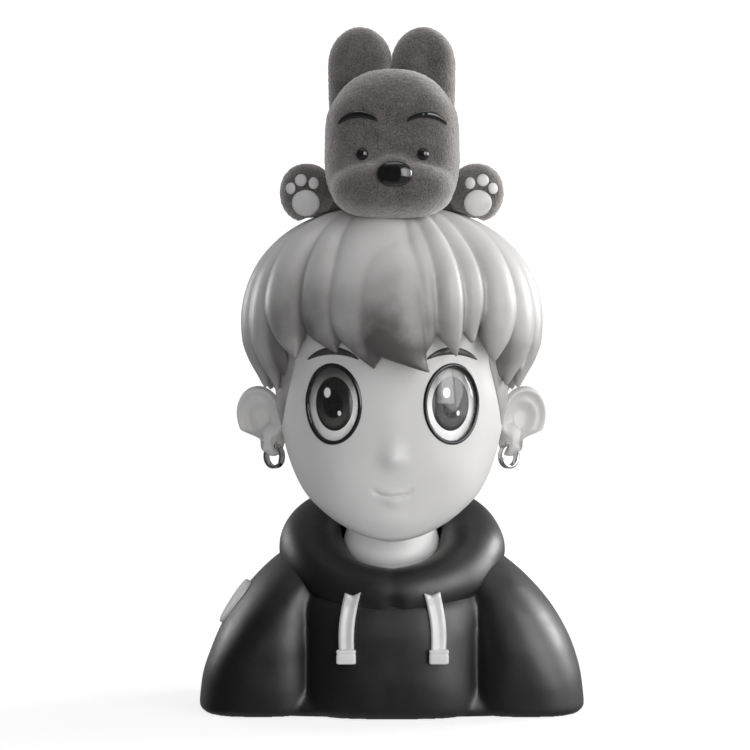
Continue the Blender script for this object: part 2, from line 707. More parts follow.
# Each row is a height, then the head's half width, front and back.
HEAD = columns((
    (63.0, 3.0, -38.6, -33.6), (64.4, 9.4, -40.6, -27.0), (68.0, 17.6, -42.0, -17.0),
    (73.0, 25.0, -43.0, -6.0), (79.0, 31.2, -43.6, 6.0), (86.0, 35.4, -44.0, 18.0),
    (95.0, 38.8, -44.4, 29.0), (105.0, 41.0, -44.8, 36.0), (117.0, 42.2, -45.2, 40.5),
    (131.0, 42.0, -45.0, 42.0), (145.0, 39.6, -42.4, 40.5), (158.0, 33.0, -35.6, 34.5),
    (166.0, 24.0, -26.0, 26.0), (170.6, 12.5, -13.5, 13.5), (171.6, 4.0, -4.5, 4.5),
))
HEAD_POWER, HEAD_TOP = 2.2, 171.6
CHIN, EYE_LINE, EYE_SPREAD, EYE_HALF = 63.0, 111.4, 21.0, (10.5, 13.65)
NOSE_LINE = (EYE_LINE + CHIN) / 2 + 5.0
MOUTH_LINE = NOSE_LINE - (NOSE_LINE - CHIN) / 2.4
NECK_HOLE, SOCKET_FLOOR = 16.7, 84.0


def eye_axes(side):
    """Across, up and out of the face at one eye."""
    yaw, pitch = math.radians(22.0) * side, math.radians(2.0)
    out = unit(np.array((math.sin(yaw), -math.cos(yaw) * math.cos(pitch), -math.sin(pitch))))
    up = unit(np.array((0, 0, 1.0)) - out * out[2])
    return np.cross(up, out), up, out


def eye_centre(side):
    return np.array((side * EYE_SPREAD, -39.6, EYE_LINE))


def bare_face(x, z):
    """y of the head's front before any feature is added."""
    half_width, front, back = (c(z) for c in HEAD)
    share = np.clip(1 - (np.abs(x) / half_width) ** HEAD_POWER, 0, 1)
    return (front + back) / 2 - (back - front) / 2 * share ** (1 / HEAD_POWER)


def features(x, z):
    """How far a calm, plain doll's face stands out from the bare head, in mm."""
    nose = 2.1 * bell(x, 4.0) * bell(z - NOSE_LINE, np.where(z > NOSE_LINE, 4.4, 3.4))
    bridge = 0.5 * bell(x, 4.6) * smoothstep(z, NOSE_LINE, 99) * smoothstep(-z, -121, -105)
    cheeks = 0.9 * bell(np.abs(x) - 21, 9) * bell(z - 88, 8)
    chin = 0.9 * bell(x, 8) * bell(z - 69.5, 4)
    # A closed mouth, turned up a little at its ends, between two soft lips.
    above = z - (MOUTH_LINE - 0.9 + 0.035 * x ** 2)
    upper = 0.55 * bell(above - 1.4, 1.4) * bell(x, 3.8)
    lower = 0.75 * bell(above + 1.8, 1.7) * bell(x, 3.4)
    crease = 0.85 * bell(above, 0.48) * smoothstep(-np.abs(x), -6.2, -4.4)
    corner = 0.35 * bell(np.abs(x) - 6.0, 1.2) * bell(above - 0.2, 1.2)
    return nose + bridge + cheeks + chin + upper + lower - crease - corner


def on_face(side, across_mm, up_mm):
    """Points on the face, reached by going along the eye's axis from its own plane."""
    across, up, out = eye_axes(side)
    across_mm, up_mm = np.asarray(across_mm, float), np.asarray(up_mm, float)
    p = eye_centre(side) + across_mm[..., None] * across + up_mm[..., None] * up
    for _ in range(12):
        gap = (bare_face(p[..., 0], p[..., 2]) - p[..., 1]) / out[1]
        p = p + gap[..., None] * out * 0.8
    return p


def head():
    """The whole head as one skin, denser in front, with sunk eye sockets and the neck's opening."""
    bands = ((CHIN, 66, 14), (66, 76, 26), (76, 84, 24), (84, 130, 84))
    heights = [np.linspace(low, high, rows, endpoint=False) for low, high, rows in bands]
    turn = circle(300) + 1e-4
    turn = turn - 0.5 * np.cos(turn)
    ahead = smoothstep(-np.sin(turn), 0.0, 0.5)
    rings = []
    for z in np.concatenate(heights + [np.linspace(130, HEAD_TOP, 40)]):
        x, y = oval(turn, *(float(c(z)) for c in HEAD), HEAD_POWER)
        rings.append(level(x, y - ahead * features(x, z), z))
    obj = build("head", rings_mesh(rings))
    p = points_of(obj)
    for _, side in SIDES:
        across, up, out = eye_axes(side)
        local = p - eye_centre(side)
        reach = np.hypot(local @ across / EYE_HALF[0], local @ up / EYE_HALF[1])
        sunk = (local @ out > -12) & (p[:, 1] < 0)
        p -= out * (5.2 * smoothstep(-reach, -0.985, -0.93) * sunk)[:, None]
    bore = (np.hypot(p[:, 0], p[:, 1]) < NECK_HOLE) & (p[:, 2] < SOCKET_FLOOR)
    p[bore, 2] = SOCKET_FLOOR + 0.4
    set_points(obj, p)
    return obj


def eye_piece(name, side, wide, high, top, low):
    """A closed disc over the face: two heights above it, each a function of the share of its radius."""
    out = eye_axes(side)[2]
    turn = circle(96)
    shares = np.sin(np.linspace(0.02, np.pi / 2, 26))
    rows, uv = [], []
    for share, offset in [(s, top(s)) for s in shares] + [(s, low(s)) for s in shares[::-1]]:
        rows.append(on_face(side, wide * share * np.cos(turn), high * share * np.sin(turn)) + out * offset)
        uv.append(np.column_stack([share * np.cos(turn), share * np.sin(turn)]))
    obj = build(name, rings_mesh(rows))
    # The mesh's two cap points are at the disc's middle.
    uv = np.vstack(uv + [np.zeros((2, 2))])
    layer = obj.data.uv_layers.new(name="eye")
    corners = np.empty(len(obj.data.loops), dtype=np.int32)
    obj.data.loops.foreach_get("vertex_index", corners)
    layer.data.foreach_set("uv", uv[corners].astype(np.float32).ravel())
    return outward(obj)


def eye_rim(name, side):
    """A rounded dark band round the socket, with a wall down into it."""
    section = ((1.05, -0.9), (1.0, -0.1), (0.72, 0.42), (0.3, 0.68), (-0.15, 0.62), (-0.5, 0.3),
               (-0.68, -0.3), (-0.72, -1.2), (-0.74, -2.6), (-0.74, -4.6), (0.5, -4.6), (0.8, -2.6))
    across, up, out = eye_axes(side)
    rings = []
    for turn in circle(160):
        c, s = math.cos(turn), math.sin(turn)
        outer = unit(np.array((c / EYE_HALF[0], s / EYE_HALF[1])))
        base = on_face(side, EYE_HALF[0] * c, EYE_HALF[1] * s)
        rings.append([base + (across * outer[0] + up * outer[1]) * (w - 0.15) + out * h for w, h in section])
    obj = build(name, rings_mesh(rings, wrap=True))
    smooth = obj.modifiers.new("fine", "SUBSURF")
    smooth.levels = smooth.render_levels = 1
    return outward(settle(obj))


def brow(name, side):
    """A soft even arc over the eye, thin at both ends."""
    arc = 15.0
    centre = EYE_LINE + EYE_HALF[1] + 5.0 - arc
    section = circle(24)
    rings = []
    for share in np.linspace(0, 1, 48):
        turn = math.radians(127 - 74 * share)
        half = 0.16 + 1.18 * math.sin(math.pi * share) ** 0.75
        radial = arc + half * np.cos(section)
        x = side * EYE_SPREAD + radial * math.cos(turn)
        z = centre + radial * math.sin(turn)
        lift = np.where(np.sin(section) > 0, 0.7, 0.5) * np.sin(section) * min(1, half / 0.6)
        rings.append(np.column_stack([x, bare_face(x, z) - lift, z]))
    return outward(build(name, rings_mesh(rings)))


def push_out(obj, clearance):
    """Moves the vertices that are inside the bare head out to its surface plus the clearance."""
    p = points_of(obj)
    half_width, front, back = (c(np.clip(p[:, 2], CHIN, 171)) for c in HEAD)
    middle, reach = (front + back) / 2, (back - front) / 2
    dx, dy = p[:, 0] / half_width, (p[:, 1] - middle) / reach
    size = (np.abs(dx) ** HEAD_POWER + np.abs(dy) ** HEAD_POWER) ** (1 / HEAD_POWER)
    floor = 1 + clearance / half_width
    grow = np.where(size < floor, floor / np.maximum(size, 1e-6), 1)
    p[:, 0] *= grow
    p[:, 1] = middle + (p[:, 1] - middle) * grow
    set_points(obj, p)


LOBE, LOBE_HALF, HOOP_TURN = np.array((43.6, -0.6, 95.4)), 1.4, math.radians(40.0)
LOBE_AXIS = np.array((math.cos(HOOP_TURN), math.sin(HOOP_TURN), 0.0))


def ear(name, side):
    """A cupped ear: rolled rim, inner ridge, deep bowl, and a flat lobe bored for the hoop."""
    yaw, tilt = math.radians(16), math.radians(14)
    across = unit(np.array((math.cos(yaw) * math.cos(tilt), math.sin(yaw), -math.sin(tilt))))
    out = np.array((math.sin(yaw), -math.cos(yaw), 0.0))
    up = np.cross(across, out)
    up *= np.sign(up[2])
    turn = circle(110)
    c, s = np.cos(turn), np.sin(turn)
    # Wider above, narrower towards the lobe.
    wide = 9.2 + 0.6 * s - 0.3 * smoothstep(-s, 0.2, 1)
    high = 12.4 + 0.6 * (s < 0)
    rings = []
    for share in np.linspace(0.02, 1, 34):
        rim = 1.9 * bell(share - 0.86, 0.115) * (0.75 + 0.25 * s)
        bowl = -3.0 * smoothstep(-share, -0.74, -0.2)
        ridge = 1.25 * bell(share - 0.5, 0.12) * smoothstep(np.cos(turn - 0.75), -0.1, 0.7)
        lobe = 1.6 * smoothstep(-s, 0.45, 0.95) * smoothstep(share, 0.3, 0.7)
        depth = 0.9 + rim + bowl + ridge + lobe * (share < 0.98)
        rings.append((share, depth - 1.1 * smoothstep(share, 0.93, 1.0)))
    for share in np.linspace(1, 0.02, 16)[1:]:
        rings.append((share, -1.0 - 3.4 * np.sqrt(max(0.0, 1 - share ** 2)) * np.ones_like(s)))
    centre = np.array((48.6, 0.6, 105.4))
    rows = []
    for share, depth in rings:
        flat = (wide * share * c)[:, None] * across + (high * share * s)[:, None] * up
        rows.append(centre + flat + depth[:, None] * out)
    lobe = ellipsoid(LOBE + (0.4, 0.2, 2.2), (5.0, 3.8, 6.2))
    root = capsule((41.0, 3.0, 110.0), (42.6, 1.6, 98.5), 4.4, 3.6)
    obj = fuse(name, [rings_mesh(rows), lobe, root], voxel=0.42, passes=5, factor=0.5)
    p = points_of(obj)
    # Below its bowl the ear thins to a flat lobe, which leaves the hoop room to swing.
    along = (p - LOBE) @ LOBE_AXIS
    flat = np.clip(along, -LOBE_HALF + 0.05, LOBE_HALF - 0.05)
    share = smoothstep(-p[:, 2], -101.5, -97.3)
    p += LOBE_AXIS * ((flat - along) * share)[:, None]
    set_points(obj, p)
    push_out(obj, -0.8)
    cutter = build("drill", capsule(LOBE - LOBE_AXIS * 6, LOBE + LOBE_AXIS * 6, 1.55, 1.55, 40))
    cut = obj.modifiers.new("hole", "BOOLEAN")
    cut.operation, cut.solver, cut.object = "DIFFERENCE", "EXACT", cutter
    settle(obj)
    bpy.data.objects.remove(cutter)
    if side < 0:
        set_points(obj, points_of(obj) * (-1, 1, 1))
        obj.data.flip_normals()
    return obj


def hoop(name, side):
    """A polished band with a groove round its outside, hanging through the lobe."""
    # From one edge to the groove: how far out from the ring, and how far along its axis.
    half = ((-0.62, -1.0), (-0.45, -1.28), (0.3, -1.3), (0.55, -1.1), (0.6, -0.75), (0.5, -0.5), (0.16, -0.3))
    section = (*half, (0.1, 0), *((h, -w) for h, w in half[::-1]))
    radius = 4.0
    along = LOBE_AXIS * (side, 1, 1)
    away = np.array((-along[1], along[0], 0))
    centre = LOBE * (side, 1, 1) - (0, 0, radius)
    rings = []
    for turn in circle(120):
        out = along * math.cos(turn) + np.array((0, 0, math.sin(turn)))
        rings.append([centre + out * (radius + h) + away * w for h, w in section])
    return outward(build(name, rings_mesh(rings, wrap=True)))


def fit_eye(label, side):
    """Rim, white, iris and clear lens. White and iris share one bow."""
    bow = 0.9
    finish_piece(eye_rim(f"rim_{label}", side), "head", eye_dark, f"eye_rim_{label}")
    white = eye_piece(f"white_{label}", side, 9.95, 13.1,
                      lambda s: -2.6 + bow * (1 - s * s), lambda s: -3.9 + bow * (1 - s * s))
    finish_piece(white, "head", eye_white, f"eye_cup_{label}")
    iris = eye_piece(f"iris_{label}", side, 7.1, 9.4,
                     lambda s: -2.62 + bow * (1 - 0.52 * s * s) + 0.4 * (1 - s ** 10) ** 0.5,
                     lambda s: -2.75 + bow * (1 - 0.52 * s * s))
    finish_piece(iris, "head", iris_print, f"eye_iris_{label}")
    lens = eye_piece(f"lens_{label}", side, 9.9, 13.05,
                     lambda s: -0.9 + 2.3 * (1 - s * s) ** 0.6, lambda s: -1.75 + 1.9 * (1 - s * s) ** 0.6)
    lens.visible_shadow = False
    finish_piece(lens, "head", eye_clear, f"eye_lens_{label}")


finish_piece(head(), "head", skin, "head_shell")
for label, side in SIDES:
    fit_eye(label, side)
    finish_piece(brow(f"brow_arc_{label}", side), "head", brow_vinyl, f"brow_{label}")
    finish_piece(ear(f"ear_skin_{label}", side), "head", skin, f"ear_{label}")
    finish_piece(hoop(f"hoop_{label}", side), f"hoop_{label}", hoop_chrome, f"earring_{label}")


# ---------------------------------------------------------------- hair

DOME_RADIUS, DOME_MID, DOME_RISE, DOME_POWER = 57.5, 134.0, 50.0, 2.5
SKIRT_END = 82
# The radius below the dome's middle, keyed by height.
SKIRT = curve((
    (80, 40.6), (90, 43.0), (98, 45.4), (108, 48.6), (118, 52.8), (127, 56.3), (134, 57.5), (140, 57.3),
))


def dome_line():
    """The dome's outline from the crown down: arc length, radius, height and outward normal."""
    turn = np.linspace(np.pi / 2, 0, 400)[:-1]
    low = np.linspace(DOME_MID, SKIRT_END, 200)
    radius = np.concatenate([DOME_RADIUS * np.cos(turn) ** (2 / DOME_POWER), SKIRT(low)])
    height = np.concatenate([DOME_MID + DOME_RISE * np.sin(turn) ** (2 / DOME_POWER), low])
    length = np.concatenate([[0], np.cumsum(np.hypot(np.diff(radius), np.diff(height)))])
    even = np.linspace(0, length[-1], 500)
    radius, height = np.interp(even, length, radius), np.interp(even, length, height)
    slope = np.stack([np.gradient(radius, even), np.gradient(height, even)], -1)
    for _ in range(6):
        slope[1:-1] = (slope[:-2] + 2 * slope[1:-1] + slope[2:]) / 4
    slope /= np.linalg.norm(slope, axis=1)[:, None]
    return even, radius, height, -slope[:, 1], slope[:, 0]


LENGTH, RADIUS, HEIGHT, NORMAL_R, NORMAL_Z = dome_line()


def length_at(z):
    return np.interp(-z, -HEIGHT, LENGTH)


def radius_at(length):
    return np.interp(length, LENGTH, RADIUS)


def on_dome(azimuth, length, offset):
    """Points over the dome. Azimuth is in degrees from the front, towards +X."""
    radius = radius_at(length) + np.interp(length, LENGTH, NORMAL_R) * offset
    z = np.interp(length, LENGTH, HEIGHT) + np.interp(length, LENGTH, NORMAL_Z) * offset
    turn = np.radians(azimuth)
    return np.stack([radius * np.sin(turn), -radius * np.cos(turn), z * np.ones_like(turn)], -1)


def dome_top(radius):
    share = np.clip(1 - (radius / DOME_RADIUS) ** DOME_POWER, 0, 1)
    return DOME_MID + DOME_RISE * share ** (1 / DOME_POWER)


ROOT, BROAD = length_at(183.4), length_at(147)


class Lock:
    """One lobe of hair: it widens from the crown, is broadest at mid height and ends in a point.

    Edges are azimuths: at the root, at the broad level, and the tip's with its height.
    A bend is how late an edge turns in, and the layer is how deep under the dome the lock lies."""

    def __init__(self, root, broad, tip, bends, layer, crest=6.2, curl=3.2, thick=4.5, sink=0.0,
                 shade=1.0, lean=0.0):
        self.root, self.broad, self.bends, self.layer = root, broad, bends, layer
        self.tip, self.end = tip[0], length_at(tip[1]) + 1.2
        # A lock with a sink starts that much deeper and rises to its own layer halfway down.
        self.crest, self.curl, self.thick, self.sink = crest, curl, thick, sink
        # How dark the tip is airbrushed, and towards which edge.
        self.shade, self.lean = shade, lean

    def edges(self, length):
        up = smoothstep((length - ROOT) / (BROAD - ROOT), 0, 1)
        down = np.clip((length - BROAD) / (self.end - BROAD), 0, 1)
        return [root + (broad - root) * up + (self.tip - broad) * down ** bend
                for root, broad, bend in zip(self.root, self.broad, self.bends)]

    def heights(self, length, v):
        """Outer and inner offset from the dome."""
        left, right = self.edges(length)
        width = np.radians(np.maximum(right - left, 0)) * radius_at(length)
        share = (length - ROOT) / (self.end - ROOT)
        crest = np.minimum(self.crest * smoothstep(share, 0.0, 0.55), 0.42 * width + 0.3)
        rise = smoothstep(share, 0.02, 0.42)
        curl = self.curl * smoothstep(share, 0.62, 1.0) ** 1.3
        thick = self.thick * (1 - 0.62 * smoothstep(share, 0.7, 1.0))
        round_off = np.maximum(1 - np.abs(v) ** 2.2, 0)
        layer = self.layer * rise + curl + self.sink * rise * (1 - smoothstep(share, 0.3, 0.62))
        outer = -layer - crest * (1 - round_off ** 0.62)
        inner = -layer - crest - thick * round_off ** 0.5
        return outer, inner

    def mesh(self):
        rings = []
        across = np.sin(np.linspace(-np.pi / 2, np.pi / 2, 25))
        for length in ROOT + (self.end - ROOT) * np.sin(np.linspace(0, np.pi / 2, 90)):
            left, right = self.edges(length)
            middle, half = (left + right) / 2, max((right - left) / 2, 0.55)
            outer, inner = self.heights(length, across)
            rings.append(np.vstack([on_dome(middle + half * across, length, outer),
                                    on_dome(middle + half * across[::-1], length, inner[::-1])]))
        return rings_mesh(rings)


def back_locks():
    """Broad locks round the back, down to the nape, each a little different."""
    made = []
    edges = [110, 133, 155, 178, 203, 226, 250]
    for i, (left, right) in enumerate(zip(edges, edges[1:])):
        middle = (left + right) / 2 + RNG.uniform(-3, 3)
        bends = (RNG.uniform(2.2, 3.4), RNG.uniform(2.2, 3.4))
        tip = (middle + RNG.uniform(-4, 4), RNG.uniform(92, 96.5))
        made.append(Lock((left - 2, right + 2), (left - 2.5, right + 2.5), tip, bends, 0.5 + 0.7 * (i % 2),
                         curl=2.0))
    return made


LOCKS = [
    Lock((-118, -88), (-120, -84), (-101, 115), (2.6, 2.6), 1.6, curl=3.0, shade=0.6),
    Lock((-94, -66), (-93, -68), (-78, 116), (2.4, 2.2), 1.0, curl=3.0, shade=0.6),
    Lock((-80, -60), (-77, -56), (-64, 115), (2.2, 2.0), 1.9, curl=3.0, shade=0.65, lean=0.4),
    Lock((-71, -38), (-61, -38.6), (-41, 127), (1.9, 2.0), 0.5, shade=0.8, lean=0.9),
    Lock((-45, -22), (-40.5, -20.5), (-22, 129), (3.0, 1.4), 1.3, lean=0.7),
    Lock((-26, 8), (-26, 10), (-7, 123.5), (2.5, 1.1), -0.8, crest=6.0, lean=0.9),
    Lock((-8, 6), (-15.5, 11), (14, 123), (4.6, 1.6), -2.0, crest=5.0, curl=2.2, sink=3.2, shade=1.15),
    Lock((4, 15), (6, 17.6), (12.6, 129), (1.0, 4.0), 1.2, lean=-1.0),
    Lock((12, 25), (15.5, 29), (25, 128), (2.3, 3.4), 0.4, shade=0.65, lean=-0.8),
    Lock((22, 43), (27, 40.4), (33, 132.6), (1.9, 1.3), 1.9, shade=0.55, lean=-0.6),
    Lock((40, 62), (38.6, 57.6), (43.5, 126), (3.0, 2.4), 0.3, shade=0.55, lean=-0.5),
    Lock((58, 80), (54, 78), (61, 116.5), (2.0, 2.4), 1.6, curl=3.0, shade=0.5, lean=-0.5),
    Lock((76, 96), (73, 97), (78, 116), (2.2, 2.6), 1.0, curl=3.0, shade=0.5),
    Lock((90, 118), (88, 120), (101, 115), (2.6, 2.6), 1.6, curl=3.0, shade=0.6),
    # Thin strands under the fringe's ends, in front of the ears.
    Lock((-72, -52), (-68, -52), (-58, 113), (2.2, 2.6), 5.0, crest=2.5, thick=3.0),
    Lock((52, 72), (52, 68), (58, 113), (2.6, 2.2), 5.0, crest=2.5, thick=3.0, shade=0.7),
] + back_locks()

CORE_LOW = curve(((0, 147), (44, 147), (54, 138), (66, 126), (80, 120), (108, 120), (124, 106), (180, 104)))


def hair_core():
    """What fills the dome under the locks, closed inside the head."""
    turn = np.linspace(-180, 180, 181)[:-1]
    ends = length_at(CORE_LOW(np.abs(turn)))
    rings = [on_dome(turn, ends * share, -5.6) for share in np.sin(np.linspace(0.02, np.pi / 2, 50))]
    edge = rings[-1]
    rings += [edge * (share, share, 1) + (0, 0, rise) for share, rise in ((0.85, 0.6), (0.6, 3), (0.4, 8))]
    return rings_mesh(rings)


def hair_shading(obj):
    """Finds which lock each vertex is on, for the airbrushed tips and the shade in the grooves."""
    p = points_of(obj)
    azimuth = np.degrees(np.arctan2(p[:, 0], -p[:, 1]))
    length = length_at(p[:, 2])
    radius = np.hypot(p[:, 0], p[:, 1])
    # Above the broad level a vertex is matched by its direction from the dome's middle.
    upper = p[:, 2] > DOME_MID
    aim = np.arctan2(radius, p[:, 2] - DOME_MID)
    on_line = HEIGHT >= DOME_MID
    line = np.arctan2(RADIUS[on_line], HEIGHT[on_line] - DOME_MID)
    length[upper] = np.interp(aim[upper], line, LENGTH[on_line])
    best = np.full(len(p), -9.0)
    along = np.zeros(len(p))
    strength = np.ones(len(p))
    for lock in LOCKS:
        left, right = lock.edges(length)
        middle, half = (left + right) / 2, np.maximum((right - left) / 2, 0.5)
        v = ((azimuth - middle + 180) % 360 - 180) / half
        outer, _ = lock.heights(length, np.clip(v, -1, 1))
        here = (np.abs(v) <= 1.05) & (length <= lock.end + 1) & (outer > best)
        best[here] = outer[here]
        along[here] = ((length - ROOT) / (lock.end - ROOT) + 0.16 * lock.lean * v)[here]
        strength[here] = lock.shade
    surface = np.hypot(radius_at(length), np.interp(length, LENGTH, HEIGHT) - DOME_MID)
    depth = np.where(upper, surface - np.hypot(radius, p[:, 2] - DOME_MID), radius_at(length) - radius)
    paint(obj, "tip", spread(obj, smoothstep(along, 0.33, 0.93) * strength, 40))
    groove = smoothstep(depth - 3.0 * smoothstep(along, 0.62, 1.0), 2.0, 6.0) * smoothstep(along, 0.15, 0.45)
    paint(obj, "groove", spread(obj, groove, 3))


# How far out a sideburn's front and back edges are, keyed by the share of its length.
NEAR_EDGE = curve(((0, 33.4), (0.35, 34.4), (0.6, 36.6), (0.8, 38.4), (1, 39.9)))
FAR_EDGE = curve(((0, 40.6), (0.3, 41.7), (0.55, 42.1), (0.8, 41.7), (1, 40.5)))


def sideburn(name, side):
    """The short lock in front of the ear: a thin pointed layer on the head with a soft ridge."""
    rings = []
    section = circle(32)
    for share in np.linspace(0, 1, 60):
        z = 140 - 36.6 * share
        half_width, front, back = (float(c(z)) for c in HEAD)
        # The layer is laid out by angle round the head, from its front edge to its back edge.
        turn0 = math.acos(min(float(NEAR_EDGE(share)) / half_width, 0.999) ** (HEAD_POWER / 2))
        turn1 = math.acos(min(float(FAR_EDGE(share)) / half_width, 0.9995) ** (HEAD_POWER / 2))
        turn1 -= 0.12 * (1 - share)
        middle, half = (turn0 + turn1) / 2, abs(turn0 - turn1) / 2
        strands = 1 + 0.22 * np.cos(3 * np.pi * np.cos(section)) * (1 - share)
        lift = np.sin(section) * strands * (1.6 - 0.8 * share) * min(1, 0.25 + (1 - share) * 5)
        grow = np.where(lift > 0, lift, lift * 0.6)
        turn = half * np.cos(section) - middle
        x, y = oval(turn, half_width + grow, front - grow, back + grow, HEAD_POWER)
        rings.append(level(side * x, y, z))
    return outward(build(name, rings_mesh(rings)))


hair_parts = [hair_core()] + [lock.mesh() for lock in LOCKS]
hair_mesh = fuse("hair", hair_parts, voxel=0.7, passes=3, factor=0.5)
hair_shading(hair_mesh)
finish_piece(hair_mesh, "head", hair, "hair_fringe", "hair_side_left", "hair_side_right", "hair_back")
for label, side in SIDES:
    lock = sideburn(f"sideburn_lock_{label}", side)
    finish_piece(lock, "head", sideburn_vinyl, f"sideburn_{label}")


# ---------------------------------------------------------------- rider

RIDER_HEAD, RIDER_HEAD_RADII = (0.0, -22.5, 204.8), (24.0, 19.0, 27.6)
SHOULDER_X, SHOULDER_Y, SHOULDER_Z = 15.35, 12.0, 191.0
PAW, PAW_RADII, PAW_POWER = (31.2, -8.2, 188.6), (9.9, 6.8, 10.7), 2.15
EAR_BASE, EAR_BEND, EAR_TIP, EAR_X = 206, 235.4, 13.9, 11.55
BROW_X, BROW_Z, BROW_ARC = 11.9, 202.5, 10.5
BEAD_X, BEAD_Z, BEAD_RADIUS = 10.6, 199.0, 2.3
FUZZ = 0.09


def over_hair(obj, gap=0.5, reach=56.0):
    """Flattens the underside onto the dome, so that the rider sits on the hair and can turn there."""
    p = points_of(obj)
    radius = np.hypot(p[:, 0], p[:, 1])
    # Past the dome's shoulder the clearance is measured outwards instead.
    floor = dome_top(np.minimum(radius, reach) / (1 + gap / DOME_RADIUS)) + gap
    low = (p[:, 2] < floor) & (radius < reach)
    p[low, 2] = floor[low]
    set_points(obj, p)


def flock_piece(name, parts, body, stands_for, voxel=0.55, passes=6):
    """A fused piece with its pile marked and its surface roughened by the flock's uneven tips."""
    obj = fuse(name, parts, voxel, passes)
    over_hair(obj)
    turned = 1 - smoothstep(-normals_of(obj)[:, 1], 0.5, 1.0)
    paint(obj, "brushed", spread(obj, turned, 24))
    p = points_of(obj)
    set_points(obj, p + normals_of(obj) * RNG.normal(0, FUZZ, len(p))[:, None])
    over_hair(obj, 0.4)
    finish_piece(obj, body, flocked, stands_for)
    return obj


def rider_skull():
    """A tall soft box of a head with a wide muzzle low in front."""
    skull_verts, skull_faces = ellipsoid(RIDER_HEAD, RIDER_HEAD_RADII, 2.9, 60, 90)
    up = (skull_verts[:, 2] - RIDER_HEAD[2]) / RIDER_HEAD_RADII[2]
    # The cheeks are a little fuller than the crown.
    skull_verts[:, 0] *= 1 + 0.03 * smoothstep(-up, -0.2, 0.7)
    # The crown is a rounder arch than the rest.
    arch = smoothstep(up, 0.2, 0.8) * (np.abs(skull_verts[:, 0]) / RIDER_HEAD_RADII[0]) ** 2
    skull_verts[:, 2] -= 4.6 * arch + 1.2 * smoothstep(up, 0.3, 1.0)
    muzzle = ellipsoid((0, -33.0, 187.6), (21.8, 14.2, 11.2), 2.25, 44, 80)
    bridge = ellipsoid((0, -36.0, 194.0), (9.5, 9.0, 6.5), 2.0, 30, 48)
    return [(skull_verts, skull_faces), muzzle, bridge]


def rider_ear(side):
    """An upright rounded ear, dished a little in front."""
    rings = []
    turn = circle(72)
    heights = [np.linspace(EAR_BASE, EAR_BEND, 30, endpoint=False),
               EAR_BEND + EAR_TIP * np.sin(np.linspace(0, 1.56, 30))]
    for z in np.concatenate(heights):
        top = math.sqrt(max(1e-4, 1 - max(0.0, (z - EAR_BEND) / EAR_TIP) ** 2))
        half = 11.8 * top * (0.95 + 0.05 * float(smoothstep(z, 210, 232)))
        base = float(smoothstep(-z, -224, -EAR_BASE))
        depth = (7.8 - 3.6 * base) * top ** 0.9
        x = side * EAR_X + half * np.cos(turn)
        y = -9.0 - 3.0 * base + depth * np.sin(turn)
        dish = 1.7 * bell(x - side * 11.8, 5.2) * float(smoothstep(z, 222, 234)) * top ** 2
        y = y + np.where(np.sin(turn) < 0, dish, 0)
        rings.append(level(np.where(side * x < 0.08, side * 0.08, x), y, z))
    return rings_mesh(rings)


def rider_brow(name, side, foremost):
    """A thin plain arc, the same on both sides."""
    section = circle(20)
    rings = []
    for share in np.linspace(0, 1, 44):
        turn = math.radians(50 + 85 * share)
        half = 0.25 + 1.0 * math.sin(math.pi * share) ** 0.7
        radial = BROW_ARC + half * np.cos(section)
        x = side * (BROW_X - radial * math.cos(turn))
        z = BROW_Z + radial * math.sin(turn)
        y = foremost(side * (BROW_X - BROW_ARC * math.cos(turn)), BROW_Z + BROW_ARC * math.sin(turn), -40)
        lift = (0.9 + 0.5 * share) * np.sin(section) + 0.1 + 0.3 * share
        rings.append(np.column_stack([x, y - lift, z]))
    return outward(build(name, rings_mesh(evened(rings, 4))))


def rider_torso():
    verts, faces = ellipsoid((0, 17.0, 192.0), (15.6, 20.5, 15.0), 2.3, 50, 72)
    verts[:, 0] = np.clip(verts[:, 0], -14.9, 14.9)
    return verts, faces


def rider_arm(side):
    """Arm and paw in one, with the paw's palm to the front."""
    turn = circle(40)
    hub = [np.column_stack([np.full(40, x), SHOULDER_Y + r * np.cos(turn), SHOULDER_Z + r * np.sin(turn)])
           for x, r in ((SHOULDER_X, 5.4), (15.6, 6.0), (16.5, 6.2), (19, 6.2), (22, 6.2), (24, 4.0))]
    elbow = ellipsoid((22.0, SHOULDER_Y, SHOULDER_Z), (6.2,) * 3)
    pin = capsule((10.5, SHOULDER_Y, SHOULDER_Z), (18.0, SHOULDER_Y, SHOULDER_Z), 2.3, 2.3)
    limb = capsule((23.0, 10.0, 188.6), (28.0, -1.5, 187.4), 8.2, 8.2)
    parts = [rings_mesh(hub), elbow, pin, limb, ellipsoid(PAW, PAW_RADII, PAW_POWER, 44, 64)]
    if side > 0:
        return parts
    return [(verts * (-1, 1, 1), [face[::-1] for face in faces]) for verts, faces in parts]


def palm(x, z):
    """y of the paw's front."""
    across, up = np.abs((x - PAW[0]) / PAW_RADII[0]), np.abs((z - PAW[2]) / PAW_RADII[2])
    share = across ** PAW_POWER + up ** PAW_POWER
    return PAW[1] - PAW_RADII[1] * np.maximum(1 - share, 0) ** (1 / PAW_POWER)


def pads(name, side):
    """A palm pad and three toe pads, domed and set into the flock."""
    turn = circle(40)
    dome = ((0.04, 0.72), (0.3, 0.7), (0.6, 0.6), (0.82, 0.42), (0.94, 0.2), (1.0, -0.1), (1.0, -1.2))
    parts = []
    for x, z, wide, high in ((31.4, 184.3, 5.1, 4.7), (36.9, 189.7, 1.8, 2.1), (33.2, 192.6, 2.2, 2.3),
                             (28.5, 191.5, 1.9, 2.2)):
        rings = []
        for share, lift in dome:
            px, pz = x + wide * share * np.cos(turn), z + high * share * np.sin(turn)
            rings.append(np.column_stack([side * px, palm(px, pz) - lift - 0.12, pz]))
        parts.append(rings_mesh(rings))
    return outward(build(name, joined(parts)))


